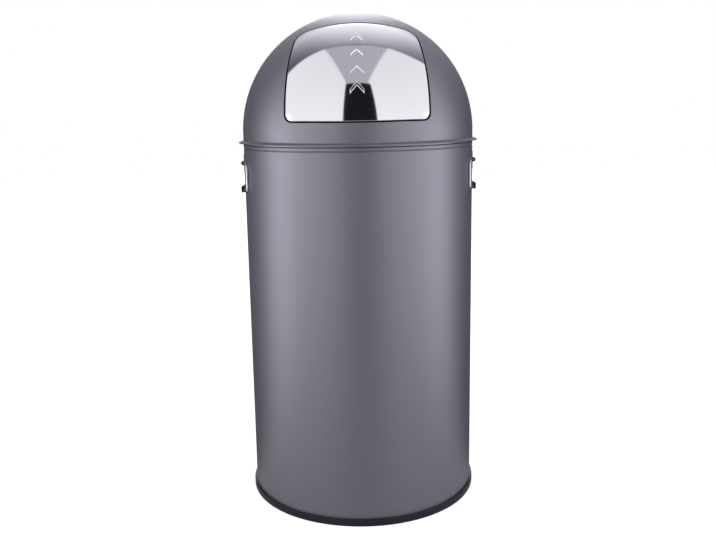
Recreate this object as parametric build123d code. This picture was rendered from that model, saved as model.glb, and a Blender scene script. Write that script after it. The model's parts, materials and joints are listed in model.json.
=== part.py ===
from build123d import *
import math
import os

# Round dome-top push bin, in millimetres.
# The origin is the centre of the footprint on the floor, +Z is up, and the flap faces -Y.
# Left is -X, as seen from in front of the flap.

# Driving sizes of the body
body_radius = 175.0
overall_height = 740.0
sheet = 0.8
curl_radius = 2.2
groove_below_rim = 6.0
groove_depth = 1.1
groove_half_width = 1.1
seam_width = 9.0
seam_thickness = 1.3
seam_end_gap = 1.0
seam_line_width = 0.8
seam_line_depth = 0.3
seam_line_above_ring = 0.5
floor_pan_z = 12.0

# Driving sizes of the foot ring
ring_wall = 3.7
ring_height = 10.5
ring_lip_thickness = 3.0
ring_lip_width = 7.0
ring_edge_round = 1.2

# Driving sizes of the side handles
handle_below_rim = 28.5
handle_drop = 40.0
handle_wire_radius = 1.8
handle_straight_half = 14.0
handle_half_span = 65.0
handle_corner_radius = 6.0
strap_half_width = 12.0
strap_thickness = 0.6
strap_corner_radius = 3.0
strap_above = 12.0
strap_below = 15.0
strap_rivet_above = 7.5
strap_rivet_below = 9.5
grip_half_length = 25.0
grip_height = 10.0
grip_wall = 1.0
grip_open_depth = 0.9
grip_round = 1.7

# Driving sizes of the lid
dome_straight = 10.4
flange_drop = 5.1
flange_reach = 7.0
flange_hem_radius = 0.85
flange_return_lap = 0.2
collar_ledge_reach = 1.5
collar_wall_depth = 19.5
collar_wall_play = 0.4
collar_upstand_height = 8.2

# Driving sizes of the flap outline, in a plane square to the pressing direction
flap_low_height = 18.0
flap_top = 80.0
flap_bottom = 82.1
flap_bottom_radius = 283.0
flap_half_width = 99.8
flap_widest = -60.0
flap_side_radius = 640.0
flap_top_corner = 21.0
flap_bottom_corner = 14.5
flap_gap = 1.8
flap_hem_width = 4.0
opening_hem_width = 3.0

# Driving sizes of the flap hinge
pivot_below_top = 3.8
pivot_depth = 25.0
rod_radius = 2.5
rod_end = 2.0
bracket_inset = 45.8
bracket_thickness = 2.0
bracket_eye_radius = 6.5
bracket_foot_start = 5.6
bracket_foot_length = 24.0
bracket_foot_width = 12.0
bracket_knee = 9.0
ear_thickness = 1.5
ear_eye_radius = 7.0
ear_foot_start = 18.4
ear_foot_length = 26.0
ear_foot_width = 11.0
bracket_sheet = 1.2
bush_wall = 1.0
bush_flange_radius = 5.0
bush_flange = 1.2
bush_end = 1.0
clip_radius = 4.8
clip_thickness = 1.0
clip_mouth = 4.0

# Driving sizes of the return springs
spring_wire_radius = 0.9
spring_coil_radius = 5.4
spring_turns = 7
spring_pitch = 2.6
spring_end_gap = 1.0
spring_short_leg = 15.0
spring_long_leg = 44.0

# Driving sizes of the flap stops
tab_inset = 39.8
tab_half_width = 8.0
tab_sheet = 1.0
tab_past_bumper = 1.0
tab_step_above_hem = 0.4
tab_foot_height = 13.0
bumper_half_width = 6.0
bumper_below_hem = 1.0
bumper_height = 8.0
tab_behind_wall = 2.3

# Driving sizes of the raised marks on the flap
mark_count = 4
mark_below_top = 34.4
mark_pitch = 28.0
mark_half_width = 9.5
mark_rise = 11.0
mark_stroke = 6.0
mark_relief = 0.7

# Driving sizes of the inner bucket
bucket_below_rim = 29.5
bucket_top_inset = 15.0
bucket_taper = 8.0
bucket_roll_radius = 3.0
bucket_foot_height = 9.0
bucket_floor_flange = 5.0
bucket_low_bead = 105.0
bucket_high_bead = 95.0
bucket_bead_radius = 2.0
bucket_ear_half_width = 12.0
bucket_ear_sheet = 1.5
bucket_ear_corner = 5.0
bucket_ear_low = 42.0
bucket_ear_joggle = 12.0
bail_wire_radius = 2.5
bail_inset = 6.0
bail_corner_radius = 5.0
bail_head_radius = 4.0
bail_head_thickness = 1.2
bail_head_gap = 1.0
bail_grip_radius = 5.0
bail_grip_half_deg = 17.0
bail_eye_margin = 6.0
bucket_rivet_drops = (20.0, 34.0)

# Driving sizes of the rivets
rivet_radius = 1.6
rivet_head_radius = 3.2
rivet_head = 0.8
bucket_rivet_radius = 2.0
bucket_rivet_head_radius = 3.6
bucket_rivet_head = 1.1
rivet_head_round = 0.7

# Clearances: pieces fixed together, pieces pressed together, pieces that move past each other, and pins
seat = 0.1
pressed_on = 0.02
running = 0.3
pin_play = 0.05

# How far a cutting shape runs past what it cuts
past = 10.0

# Sizes worked out from those above
dome_radius = body_radius
dome_z = overall_height - dome_radius
flange_root_z = dome_z - dome_straight
rim_top_z = flange_root_z - flange_drop
groove_z = rim_top_z - groove_below_rim
ring_radius = body_radius + seat + ring_wall
ring_inner_radius = body_radius - ring_lip_width
handle_z = rim_top_z - handle_below_rim
flange_radius = body_radius + flange_reach
flange_return_radius = body_radius - flange_return_lap
bucket_top_z = rim_top_z - bucket_below_rim
bucket_top_radius = body_radius - bucket_top_inset
bucket_foot_radius = bucket_top_radius - bucket_taper
inner_radius = body_radius - sheet
dome_inner = dome_radius - sheet
hem_inner = dome_inner - sheet
curl_z = rim_top_z - curl_radius
curl_centre = body_radius - curl_radius
pan_radius = inner_radius - seat
handle_radius = body_radius + running + handle_wire_radius
handle_low_z = handle_z - handle_drop
handle_leg_x = math.sqrt(handle_radius ** 2 - handle_half_span ** 2)
collar_z = rim_top_z + running
collar_ledge_top = collar_z + sheet
collar_ledge_radius = body_radius + collar_ledge_reach
collar_wall_radius = body_radius - 2 * curl_radius - collar_wall_play
collar_wall_bottom_z = rim_top_z - collar_wall_depth
collar_upstand_z = collar_z + collar_upstand_height
flange_low_z = collar_ledge_top + running
collar_upstand_radius = inner_radius - running
mount_radius = dome_inner - seat
bucket_foot_z = floor_pan_z + sheet + running
bucket_floor_z = bucket_foot_z + bucket_foot_height
bucket_roll_z = bucket_top_z - bucket_roll_radius
bail_z = bucket_top_z + running + bail_grip_radius
bucket_ear_top_z = bail_z + bail_eye_margin
bucket_ear_x = bucket_top_radius + bucket_roll_radius + running
bail_radius = bucket_top_radius - bail_inset
bucket_beads = (bucket_foot_z + bucket_low_bead, bucket_top_z - bucket_high_bead)
bail_head_x = bucket_ear_x + bucket_ear_sheet + bail_head_gap
bracket_x = flap_half_width - bracket_inset
ear_x = bracket_x + bracket_thickness + running + bush_flange
bush_x = ear_x + ear_thickness + bush_end
clip_x = bush_x + running
rod_half = clip_x + clip_thickness + rod_end
tab_x = flap_half_width - tab_inset
strap_rivet_heights = (handle_z + strap_rivet_above, handle_z - strap_rivet_below)
bucket_rivet_heights = [bucket_top_z - drop for drop in bucket_rivet_drops]

os.makedirs("parts", exist_ok=True)


def save(shape, name):
    # One file per piece, with its colourless solid only
    export_step(shape, "parts/" + name + ".step")


def turned(section):
    # A ring or disc from a section drawn with X as radius and Y as height
    return revolve(Plane.XZ * section, Axis.Z)


def slab(x0, x1, y0, y1):
    # A rectangle given by its sides
    return Pos((x0 + x1) / 2, (y0 + y1) / 2) * Rectangle(x1 - x0, y1 - y0)


def block(x0, x1, y0, y1, z0, z1):
    # A box given by its sides
    return Pos((x0 + x1) / 2, (y0 + y1) / 2, (z0 + z1) / 2) * Box(x1 - x0, y1 - y0, z1 - z0)


def rod_x(radius, x0, x1, y, z):
    # A round bar along X
    return Pos((x0 + x1) / 2, y, z) * Rot(0, 90, 0) * Cylinder(radius, x1 - x0)


def both_sides(make, name):
    # The right-hand piece and its mirror image on the left
    right = make()
    save(right, name + "_right")
    save(mirror(right, about=Plane.YZ), name + "_left")


def bowl(r0, r1):
    # A whole hollow ball about the dome's centre, from one radius to another
    return Pos(0, 0, dome_z) * (Sphere(r1) - Sphere(r0))


def around_pivot(radius, angle):
    # Y and Z of a point at a radius and an angle about the rod, the angle counted from the flap plane's up
    v = pivot_v + radius * math.cos(angle)
    n = pivot_n + radius * math.sin(angle)
    y = v * math.sin(tilt) - n * math.cos(tilt)
    return y, dome_z + v * math.cos(tilt) + n * math.sin(tilt)


# The pressing direction of the flap: square to this plane, which passes through the dome's centre.
# The plane is tilted so that the flap's lower edge comes at its height on the dome.
tilt = math.asin(flap_low_height / dome_radius) + math.asin(flap_bottom / dome_radius)
press_plane = Plane(origin=(0, 0, dome_z), x_dir=(1, 0, 0), z_dir=(0, -math.cos(tilt), math.sin(tilt)))
pivot_v = flap_top - pivot_below_top
pivot_n = math.sqrt((dome_radius - pivot_depth) ** 2 - pivot_v ** 2)
pivot_y, pivot_z = around_pivot(0, 0)

def lower_edge_height(x, margin):
    # How high above the dome's centre the outline's lower arc, grown by a margin, lies on the hems' skin
    v = flap_bottom_radius - flap_bottom - math.sqrt((flap_bottom_radius + margin) ** 2 - x ** 2)
    n = math.sqrt(hem_inner ** 2 - x ** 2 - v ** 2)
    return v * math.cos(tilt) + n * math.sin(tilt)


# The stop tabs: outer face, the height of their joggle just above the flap's lower hem,
# and the bumpers' top just below the hem of the opening
tab_outer = dome_inner - tab_behind_wall
tab_ends = (tab_x - tab_half_width, tab_x + tab_half_width)
hem_top = max(lower_edge_height(x, -flap_gap / 2 - flap_hem_width) for x in tab_ends)
tab_step_height = hem_top + tab_step_above_hem + sheet
bumper_ends = (tab_x - bumper_half_width, tab_x + bumper_half_width)
hem_low = min(lower_edge_height(x, flap_gap / 2 + opening_hem_width) for x in bumper_ends)
bumper_top_height = hem_low - bumper_below_hem
bumper_low_height = bumper_top_height - bumper_height


def flap_outline(margin):
    # The outline of the flap opening grown by a margin: two long side arcs, a bottom arc, a straight top
    side_centre = flap_half_width - flap_side_radius
    outline = Pos(side_centre, flap_widest) * Circle(flap_side_radius + margin)
    outline = outline & (Pos(-side_centre, flap_widest) * Circle(flap_side_radius + margin))
    outline = outline & (Pos(0, flap_bottom_radius - flap_bottom) * Circle(flap_bottom_radius + margin))
    outline = outline & slab(-dome_radius, dome_radius, -dome_radius, flap_top + margin)
    upper = outline.vertices().group_by(Axis.Y)[-1]
    outline = fillet(upper, flap_top_corner + margin)
    lower = outline.vertices().group_by(Axis.Y)[0]
    return fillet(lower, flap_bottom_corner + margin)


def pressed(sketch):
    # A sketch on that plane as a long bar along the pressing direction
    return extrude(press_plane * sketch, amount=dome_radius + past, dir=press_plane.z_dir)


def flap_prism(margin):
    # That outline as a bar along the pressing direction
    return pressed(flap_outline(margin))


def press_block(x0, x1, v0, v1):
    # A bar along the pressing direction with a rectangular outline
    return pressed(slab(x0, x1, v0, v1))


# Body: rolled wall with a groove and a wired curl at the mouth, and a lock seam inside the back
def make_body_shell():
    section = slab(inner_radius, body_radius, ring_lip_thickness, curl_z)
    ridge = groove_half_width + sheet
    section += Polygon(
        (inner_radius, groove_z - ridge),
        (inner_radius - groove_depth, groove_z),
        (inner_radius, groove_z + ridge),
        align=None,
    )
    section -= Polygon(
        (body_radius, groove_z - groove_half_width),
        (body_radius - groove_depth, groove_z),
        (body_radius, groove_z + groove_half_width),
        align=None,
    )
    section += Pos(curl_centre, curl_z) * Circle(curl_radius)
    wall = turned(section)
    seam_low = floor_pan_z + sheet + seam_end_gap
    seam_high = groove_z - groove_half_width - sheet - seam_end_gap
    half = seam_width / 2
    strip = block(-half, half, inner_radius - seam_thickness, body_radius - sheet / 2, seam_low, seam_high)
    line_low = ring_height + seam_line_above_ring
    line_y = body_radius - seam_line_depth
    line = block(half - seam_line_width, half, line_y, body_radius + past, line_low, seam_high)
    wall = wall + strip - line
    for side in (-1, 1):
        for z in strap_rivet_heights:
            inside, outside = sorted((side * (body_radius - past), side * (body_radius + past)))
            wall -= rod_x(rivet_radius + pin_play, inside, outside, 0, z)
    return wall


save(make_body_shell(), "body_shell")

# Body: pressed floor pan, spot-welded inside the foot of the wall
pan_section = slab(0, pan_radius, floor_pan_z, floor_pan_z + sheet)
pan_section += slab(pan_radius - sheet, pan_radius, ring_lip_thickness, floor_pan_z + sheet)
save(turned(pan_section), "body_floor")

# Body: black foot ring pushed on from below
ring_section = slab(ring_inner_radius, ring_radius, 0, ring_lip_thickness - seat)
ring_section += slab(body_radius + seat, ring_radius, 0, ring_height)
ring_outer = ring_section.vertices().group_by(Axis.X)[-1]
ring_section = fillet(ring_outer, ring_edge_round)
save(turned(ring_section), "base_ring")


# Side handles, drawn on the right and mirrored.
# Each bar is straight under its strap and then bends towards the wall, so that the ring's legs lie
# as close to the wall as its middle does. The bend's angle and radius follow from where the legs are.
bend_run = handle_half_span - handle_straight_half
bend_tangent = (handle_radius - handle_leg_x) / (bend_run + handle_corner_radius)
handle_bend = 2 * math.atan(bend_tangent)
corner_share = handle_corner_radius * (1 - bend_tangent ** 2)
handle_bend_radius = (bend_run * (1 + bend_tangent ** 2) - corner_share) / (2 * bend_tangent)


def handle_side(z):
    # The half of one bar from its middle to the end of its bend, on the +Y side
    middle = (handle_radius, 0, z)
    straight_end = (handle_radius, handle_straight_half, z)
    bend_x = handle_radius - handle_bend_radius * (1 - math.cos(handle_bend))
    bend_y = handle_straight_half + handle_bend_radius * math.sin(handle_bend)
    bend = TangentArc(straight_end, (bend_x, bend_y, z), tangent=(0, 1, 0))
    return Line(middle, straight_end), bend


def handle_half():
    # Half of the closed ring on the +Y side, from the top middle round to the bottom middle
    upper_line, upper_bend = handle_side(handle_z)
    lower_line, lower_bend = handle_side(handle_low_z)
    away = Vector(-math.sin(handle_bend), math.cos(handle_bend), 0)
    leg = upper_bend @ 1 + away * handle_corner_radius
    leg_top = (leg.X, leg.Y, handle_z - handle_corner_radius)
    leg_bottom = (leg.X, leg.Y, handle_low_z + handle_corner_radius)
    upper_corner = TangentArc(upper_bend @ 1, leg_top, tangent=away)
    lower_corner = TangentArc(leg_bottom, lower_bend @ 1, tangent=(0, 0, -1))
    leg_line = Line(leg_top, leg_bottom)
    return upper_line, upper_bend, upper_corner, leg_line, lower_corner, lower_bend, lower_line


def make_handle_ring():
    # Wire ring swept in two mirrored halves that meet face to face and are fused
    half = handle_half()
    path = Wire(half)
    start = Plane(origin=(handle_radius, 0, handle_z), x_dir=(1, 0, 0), z_dir=(0, 1, 0))
    side = sweep(start * Circle(handle_wire_radius), path=path)
    return side + mirror(side, about=Plane.XZ)


def make_handle_grip():
    # Sleeve snapped over the lower bar, open towards the body
    low = -handle_wire_radius + grip_open_depth
    high = handle_wire_radius + grip_wall
    section = slab(low, high, -grip_height / 2, grip_height / 2)
    section = fillet(section.vertices(), grip_round)
    section -= Circle(handle_wire_radius + pin_play)
    line, bend = handle_side(handle_low_z)
    reach = (grip_half_length - handle_straight_half) / handle_bend_radius
    bend = bend.trim(0, reach / handle_bend)
    start = Plane(origin=(handle_radius, 0, handle_low_z), x_dir=(1, 0, 0), z_dir=(0, -1, 0))
    face = start * section
    side = sweep(face, path=Wire([line, bend]))
    return side + mirror(side, about=Plane.XZ)


def make_handle_bracket():
    # Saddle strap over the straight part of the upper bar, with a tongue above and one below
    back = body_radius + seat
    bore = handle_wire_radius + pin_play
    section = Pos(handle_radius, handle_z) * Circle(bore + strap_thickness)
    section &= slab(back, handle_radius + past, handle_z - past, handle_z + past)
    section += slab(back, back + strap_thickness, handle_z - strap_below, handle_z + strap_above)
    section -= Pos(handle_radius, handle_z) * Circle(bore)
    face = Plane.XZ * section
    strap = extrude(face, amount=strap_half_width, both=True)
    by_height = strap.edges().filter_by(Axis.X).group_by(Axis.Z)
    strap = fillet(by_height[0] + by_height[-1], strap_corner_radius)
    for z in strap_rivet_heights:
        strap -= rod_x(rivet_radius + pin_play, body_radius, body_radius + past, 0, z)
    return strap


def make_rivet(x_skin, x_head, z, radius, head_radius, head):
    # A rivet along X: outside head on x_head, shank, and a closed tail inside x_skin
    shank = rod_x(radius, x_skin - seat - head, x_head + head, 0, z)
    front = rod_x(head_radius, x_head + pressed_on, x_head + head, 0, z)
    front = fillet(front.edges().group_by(Axis.X)[-1], head * rivet_head_round)
    tail = rod_x(head_radius, x_skin - seat - head, x_skin - seat, 0, z)
    return shank + front + tail


def make_handle_rivets():
    head_x = body_radius + seat + strap_thickness
    rivets = []
    for z in strap_rivet_heights:
        rivets.append(make_rivet(inner_radius, head_x, z, rivet_radius, rivet_head_radius, rivet_head))
    return Compound(children=rivets)


both_sides(make_handle_ring, "handle_ring")
both_sides(make_handle_grip, "handle_grip")
both_sides(make_handle_bracket, "handle_bracket")
both_sides(make_handle_rivets, "handle_rivets")

# Lid: locating ring, with a wall inside the mouth, a ledge on the curl and an upstand inside the dome
collar_inner = collar_wall_radius - sheet
collar_section = slab(collar_inner, collar_wall_radius, collar_wall_bottom_z, collar_ledge_top)
collar_section += slab(collar_inner, collar_ledge_radius, collar_z, collar_ledge_top)
collar_section += slab(collar_upstand_radius - sheet, collar_upstand_radius, collar_z, collar_upstand_z)
save(turned(collar_section), "lid_collar")


# Lid: dome with its flange hemmed back under itself and a hem round the inside of the flap opening
def make_dome_shell():
    hem_x = flange_radius - flange_hem_radius
    hem_z = flange_low_z + flange_hem_radius
    arc = Pos(0, dome_z) * (Circle(dome_radius) - Circle(dome_inner))
    section = arc & slab(0, dome_radius, dome_z, overall_height)
    section += slab(dome_inner, dome_radius, flange_root_z - sheet, dome_z)
    section += Polygon(
        (dome_inner, flange_root_z),
        (dome_radius, flange_root_z),
        (hem_x, hem_z + flange_hem_radius),
        (hem_x, hem_z + flange_hem_radius - sheet),
        (dome_radius, flange_root_z - sheet),
        (dome_inner, flange_root_z - sheet),
        align=None,
    )
    section += Pos(hem_x, hem_z) * Circle(flange_hem_radius)
    section += slab(flange_return_radius, hem_x, flange_low_z, flange_low_z + sheet)
    dome = turned(section)
    edge = flap_gap / 2
    hem = bowl(hem_inner, dome_inner + sheet / 2) & flap_prism(edge + opening_hem_width)
    return dome + hem - flap_prism(edge)


save(make_dome_shell(), "dome_shell")


# Lid: hinge brackets behind the opening's top edge, hinge rod and its clips
def make_hinge_bracket():
    foot_front = flap_top + bracket_foot_start
    foot_back = foot_front + bracket_foot_length
    half = bracket_thickness / 2
    outline = Pos(pivot_v, pivot_n) * Circle(bracket_eye_radius)
    outline += Polygon(
        (pivot_v, pivot_n + bracket_eye_radius),
        (foot_front, pivot_n + bracket_knee),
        (foot_front, dome_radius),
        (foot_back, dome_radius),
        (foot_back, pivot_n - bracket_eye_radius),
        (pivot_v, pivot_n - bracket_eye_radius),
        align=None,
    )
    outline -= Pos(pivot_v, pivot_n) * Circle(rod_radius + pin_play)
    side_plane = Plane(origin=(bracket_x, 0, dome_z), x_dir=press_plane.y_dir, z_dir=(1, 0, 0))
    plate = extrude(side_plane * outline, amount=half, both=True)
    plate &= Pos(0, 0, dome_z) * Sphere(mount_radius)
    foot = bowl(mount_radius - bracket_sheet, mount_radius)
    inner_edge = bracket_x - half - bracket_foot_width
    outer_edge = bracket_x + half + bracket_foot_width
    foot &= press_block(inner_edge, outer_edge, foot_front, foot_back)
    return plate + foot


def make_torsion_spring():
    # Coil round the rod: one unbroken wire, its short leg on the bracket's foot and its long one on the flap
    far_x = bracket_x - bracket_thickness / 2 - spring_end_gap - spring_wire_radius
    near_x = far_x - spring_turns * spring_pitch
    foot_skin = mount_radius - bracket_sheet
    foot_angle = leg_angle(spring_short_leg, 1, foot_skin, 1, far_x)
    flap_angle = leg_angle(spring_long_leg, -1, dome_inner, -1, near_x)
    sweep_angle = 2 * math.pi * spring_turns + (flap_angle - foot_angle) % (2 * math.pi)
    steps = int(round(4 * sweep_angle / (2 * math.pi)))
    points = []
    tangents = []
    slope = (near_x - far_x) / sweep_angle
    for i in range(steps + 1):
        angle = foot_angle + sweep_angle * i / steps
        y, z = around_pivot(spring_coil_radius, angle)
        points.append(Vector(far_x + (angle - foot_angle) * slope, y, z))
        ahead_y, ahead_z = around_pivot(spring_coil_radius, angle + math.pi / 2)
        tangents.append(Vector(slope, ahead_y - pivot_y, ahead_z - pivot_z).normalized())
    start = points[0] - tangents[0] * spring_short_leg
    edges = [Line(start, points[0])]
    for i in range(steps):
        edges += biarc(points[i], tangents[i], points[i + 1], tangents[i + 1])
    edges.append(Line(points[-1], points[-1] + tangents[-1] * spring_long_leg))
    face = Plane(origin=start, z_dir=tangents[0]) * Circle(spring_wire_radius)
    print("spring: least gap between turns", round(least_turn_gap(edges), 2), "mm")
    return sweep(face, path=Wire(edges))


def least_turn_gap(edges):
    # The least clear distance between stretches of the wire that are at least half a turn apart
    samples = []
    for edge in edges:
        for share in (0.0, 0.25, 0.5, 0.75):
            samples.append(edge @ share)
    along = [0.0]
    for i in range(1, len(samples)):
        along.append(along[-1] + (samples[i] - samples[i - 1]).length)
    least = math.inf
    for i in range(len(samples)):
        for j in range(i):
            if along[i] - along[j] > math.pi * spring_coil_radius:
                least = min(least, (samples[i] - samples[j]).length)
    return least - 2 * spring_wire_radius


def leg_angle(length, way, skin, side, x):
    # The coil angle where a straight leg leaves, so that its end lies just inside a skin at this x.
    # The end is where two circles cross: the leg's reach round the rod and the skin's own section.
    reach = math.hypot(length, spring_coil_radius)
    section = (skin - spring_wire_radius - running) ** 2 - x ** 2
    centre_distance = math.hypot(pivot_v, pivot_n)
    cosine = (section - centre_distance ** 2 - reach ** 2) / (2 * centre_distance * reach)
    direction = math.atan2(pivot_n, pivot_v) - side * math.acos(cosine)
    return direction + way * math.atan2(length, spring_coil_radius)


def biarc(p0, t0, p1, t1):
    # Two tangent arcs from p0 to p1 with the given directions at their ends
    chord = p1 - p0
    total = t0 + t1
    a = 2 * (1 - t0.dot(t1))
    b = 2 * chord.dot(total)
    c = -chord.dot(chord)
    if abs(a) < 1e-12:
        step = -c / b
    else:
        step = (-b + math.sqrt(b * b - 4 * a * c)) / (2 * a)
    joint = (p0 + t0 * step + p1 - t1 * step) * 0.5
    first = TangentArc(p0, joint, tangent=t0)
    second = TangentArc(joint, p1, tangent=first % 1)
    return [first, second]


def make_rod_clips():
    clip = rod_x(clip_radius, clip_x, clip_x + clip_thickness, pivot_y, pivot_z)
    clip -= rod_x(rod_radius + pressed_on, clip_x - past, clip_x + past, pivot_y, pivot_z)
    mouth_low = pivot_z - clip_radius - past
    half = clip_mouth / 2
    clip -= block(clip_x - past, clip_x + past, pivot_y - half, pivot_y + half, mouth_low, pivot_z)
    return Compound(children=[clip, mirror(clip, about=Plane.YZ)])


both_sides(make_hinge_bracket, "hinge_bracket")
save(rod_x(rod_radius, -rod_half, rod_half, pivot_y, pivot_z), "hinge_rod")
save(make_rod_clips(), "rod_clips")
both_sides(make_torsion_spring, "torsion_spring")


# Flap: pressed panel, flush with the dome, with a hem inside and a column of raised chevrons
def make_flap_panel():
    edge = -flap_gap / 2
    panel = bowl(dome_inner, dome_radius) & flap_prism(edge)
    hem = bowl(hem_inner, dome_inner + sheet / 2) & (flap_prism(edge) - flap_prism(edge - flap_hem_width))
    panel = panel + hem
    raised = bowl(dome_radius - sheet / 2, dome_radius + mark_relief)
    for i in range(mark_count):
        tip = flap_top - mark_below_top - mark_pitch * i + (mark_rise + mark_stroke) / 2
        mark = Polygon(
            (-mark_half_width, tip - mark_rise),
            (-mark_half_width, tip - mark_rise - mark_stroke),
            (0, tip - mark_stroke),
            (mark_half_width, tip - mark_rise - mark_stroke),
            (mark_half_width, tip - mark_rise),
            (0, tip),
            align=None,
        )
        panel += raised & pressed(mark)
    return panel


def make_flap_ear():
    # Plate down from the flap's skin to the rod, with a foot bent outwards along the skin
    foot_top = flap_top - ear_foot_start
    foot_bottom = foot_top - ear_foot_length
    outline = Pos(pivot_v, pivot_n) * Circle(ear_eye_radius)
    outline += Polygon(
        (pivot_v, pivot_n + ear_eye_radius),
        (foot_top, dome_radius),
        (foot_bottom, dome_radius),
        (foot_bottom, pivot_n + 2 * ear_eye_radius),
        (pivot_v, pivot_n - ear_eye_radius),
        align=None,
    )
    outline -= Pos(pivot_v, pivot_n) * Circle(rod_radius + bush_wall + pin_play)
    side_plane = Plane(origin=(ear_x, 0, dome_z), x_dir=press_plane.y_dir, z_dir=(1, 0, 0))
    plate = extrude(side_plane * outline, amount=ear_thickness)
    plate &= Pos(0, 0, dome_z) * Sphere(mount_radius)
    foot = bowl(mount_radius - bracket_sheet, mount_radius)
    foot &= press_block(ear_x, ear_x + ear_foot_width, foot_bottom, foot_top)
    return plate + foot


def make_ear_bush():
    # Flanged bush pressed in the ear, turning on the rod
    bush = rod_x(rod_radius + bush_wall, ear_x - bush_flange, bush_x, pivot_y, pivot_z)
    bush += rod_x(bush_flange_radius, ear_x - bush_flange, ear_x - pressed_on, pivot_y, pivot_z)
    return bush - rod_x(rod_radius + pin_play, ear_x - past, bush_x + past, pivot_y, pivot_z)


def shell_band(r0, r1, x0, x1, up0, up1):
    # A piece of the ball shell on the flap side, between two heights above the dome's centre
    return bowl(r0, r1) & block(x0, x1, -dome_radius - past, 0, dome_z + up0, dome_z + up1)


def make_stop_tab():
    # Joggled strip welded inside the flap's lower edge, reaching down behind the dome's wall
    low = bumper_low_height - tab_past_bumper
    step = tab_step_height
    lower = shell_band(tab_outer - tab_sheet, tab_outer, *tab_ends, low, step + tab_sheet)
    middle = shell_band(tab_outer - tab_sheet, mount_radius, *tab_ends, step, step + tab_sheet)
    upper = shell_band(mount_radius - tab_sheet, mount_radius, *tab_ends, step, step + tab_foot_height)
    return lower + middle + upper


def make_bumper():
    # Rubber pad on the tab's outer face, which meets the dome's wall when the flap is shut
    r0 = tab_outer + pressed_on
    r1 = dome_inner - running
    return shell_band(r0, r1, *bumper_ends, bumper_low_height, bumper_top_height)


save(make_flap_panel(), "flap_panel")
both_sides(make_flap_ear, "flap_ear")
both_sides(make_ear_bush, "ear_bush")
both_sides(make_stop_tab, "stop_tab")
both_sides(make_bumper, "bumper")


# Inner bucket: tapered wall with two beads and a rolled rim, and a floor set up inside its foot
def bucket_radius(z):
    share = (z - bucket_foot_z) / (bucket_roll_z - bucket_foot_z)
    return bucket_foot_radius + (bucket_top_radius - bucket_foot_radius) * share


def make_bucket_wall():
    section = Polygon(
        (bucket_foot_radius - sheet, bucket_foot_z),
        (bucket_foot_radius, bucket_foot_z),
        (bucket_top_radius, bucket_roll_z),
        (bucket_top_radius - sheet, bucket_roll_z),
        align=None,
    )
    for z in bucket_beads:
        middle = bucket_radius(z) - sheet / 2
        inner = bucket_bead_radius - sheet
        bead = Pos(middle, z) * (Circle(bucket_bead_radius) - Circle(inner))
        bead &= slab(middle, middle + past, z - past, z + past)
        section -= slab(middle - sheet, middle + sheet, z - inner, z + inner)
        section += bead
    section += Pos(bucket_top_radius, bucket_roll_z) * Circle(bucket_roll_radius)
    wall = turned(section)
    for side in (-1, 1):
        for z in bucket_rivet_heights:
            inside, outside = sorted((side * (bucket_top_radius - past), side * (bucket_top_radius + past)))
            wall -= rod_x(bucket_rivet_radius + pin_play, inside, outside, 0, z)
    return wall


save(make_bucket_wall(), "bucket_wall")

floor_radius = bucket_radius(bucket_floor_z) - sheet - seat
floor_section = slab(0, floor_radius, bucket_floor_z, bucket_floor_z + sheet)
flange_low = bucket_floor_z - bucket_floor_flange
floor_section += slab(floor_radius - sheet, floor_radius, flange_low, bucket_floor_z + sheet)
save(turned(floor_section), "bucket_floor")


def make_bucket_ear():
    # Riveted plate that joggles out over the rolled rim and stands up to carry the bail
    pad_x = bucket_top_radius + seat
    joggle_z = bucket_top_z - bucket_ear_joggle
    half = bucket_ear_half_width
    ear = block(pad_x, pad_x + bucket_ear_sheet, -half, half, bucket_top_z - bucket_ear_low, joggle_z)
    outer_x = bucket_ear_x + bucket_ear_sheet
    ear += block(pad_x, outer_x, -half, half, joggle_z - bucket_ear_sheet, joggle_z)
    ear += block(bucket_ear_x, outer_x, -half, half, joggle_z - bucket_ear_sheet, bucket_ear_top_z)
    corners = ear.edges().filter_by(Axis.X).group_by(Axis.Z)
    ear = fillet(corners[-1] + corners[0], bucket_ear_corner)
    ear -= rod_x(bail_wire_radius + pin_play, bucket_ear_x - past, outer_x + past, 0, bail_z)
    for z in bucket_rivet_heights:
        ear -= rod_x(bucket_rivet_radius + pin_play, pad_x - past, outer_x + past, 0, z)
    return ear


def make_bucket_rivets():
    rivets = []
    for z in bucket_rivet_heights:
        skin = bucket_radius(z) - sheet
        head_x = bucket_top_radius + seat + bucket_ear_sheet
        sizes = (bucket_rivet_radius, bucket_rivet_head_radius, bucket_rivet_head)
        rivet = make_rivet(skin, head_x, z, *sizes)
        rivets += [rivet, mirror(rivet, about=Plane.YZ)]
    return Compound(children=rivets)


# Bail: one wire, turned out through the ears, lying back over the rim, with a sleeve at its middle
def make_bail():
    corner = bail_corner_radius
    end = (bail_head_x + bail_head_thickness / 2, 0, bail_z)
    turn_in = (bail_radius + corner, 0, bail_z)
    turn_out = (bail_radius, corner, bail_z)
    edges = [Line(end, turn_in), TangentArc(turn_in, turn_out, tangent=(-1, 0, 0))]
    edges.append(TangentArc(turn_out, (0, corner + bail_radius, bail_z), tangent=(0, 1, 0)))
    face = Plane(origin=end, z_dir=(-1, 0, 0)) * Circle(bail_wire_radius)
    half = sweep(face, path=Wire(edges))
    half += rod_x(bail_head_radius, bail_head_x, bail_head_x + bail_head_thickness, 0, bail_z)
    return half + mirror(half, about=Plane.YZ)


def make_bail_grip():
    section = Pos(bail_radius, 0) * (Circle(bail_grip_radius) - Circle(bail_wire_radius + pin_play))
    section = Plane.XZ * section
    grip = revolve(section, Axis.Z, 2 * bail_grip_half_deg)
    return Pos(0, bail_corner_radius, bail_z) * Rot(0, 0, 90 - bail_grip_half_deg) * grip


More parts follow.
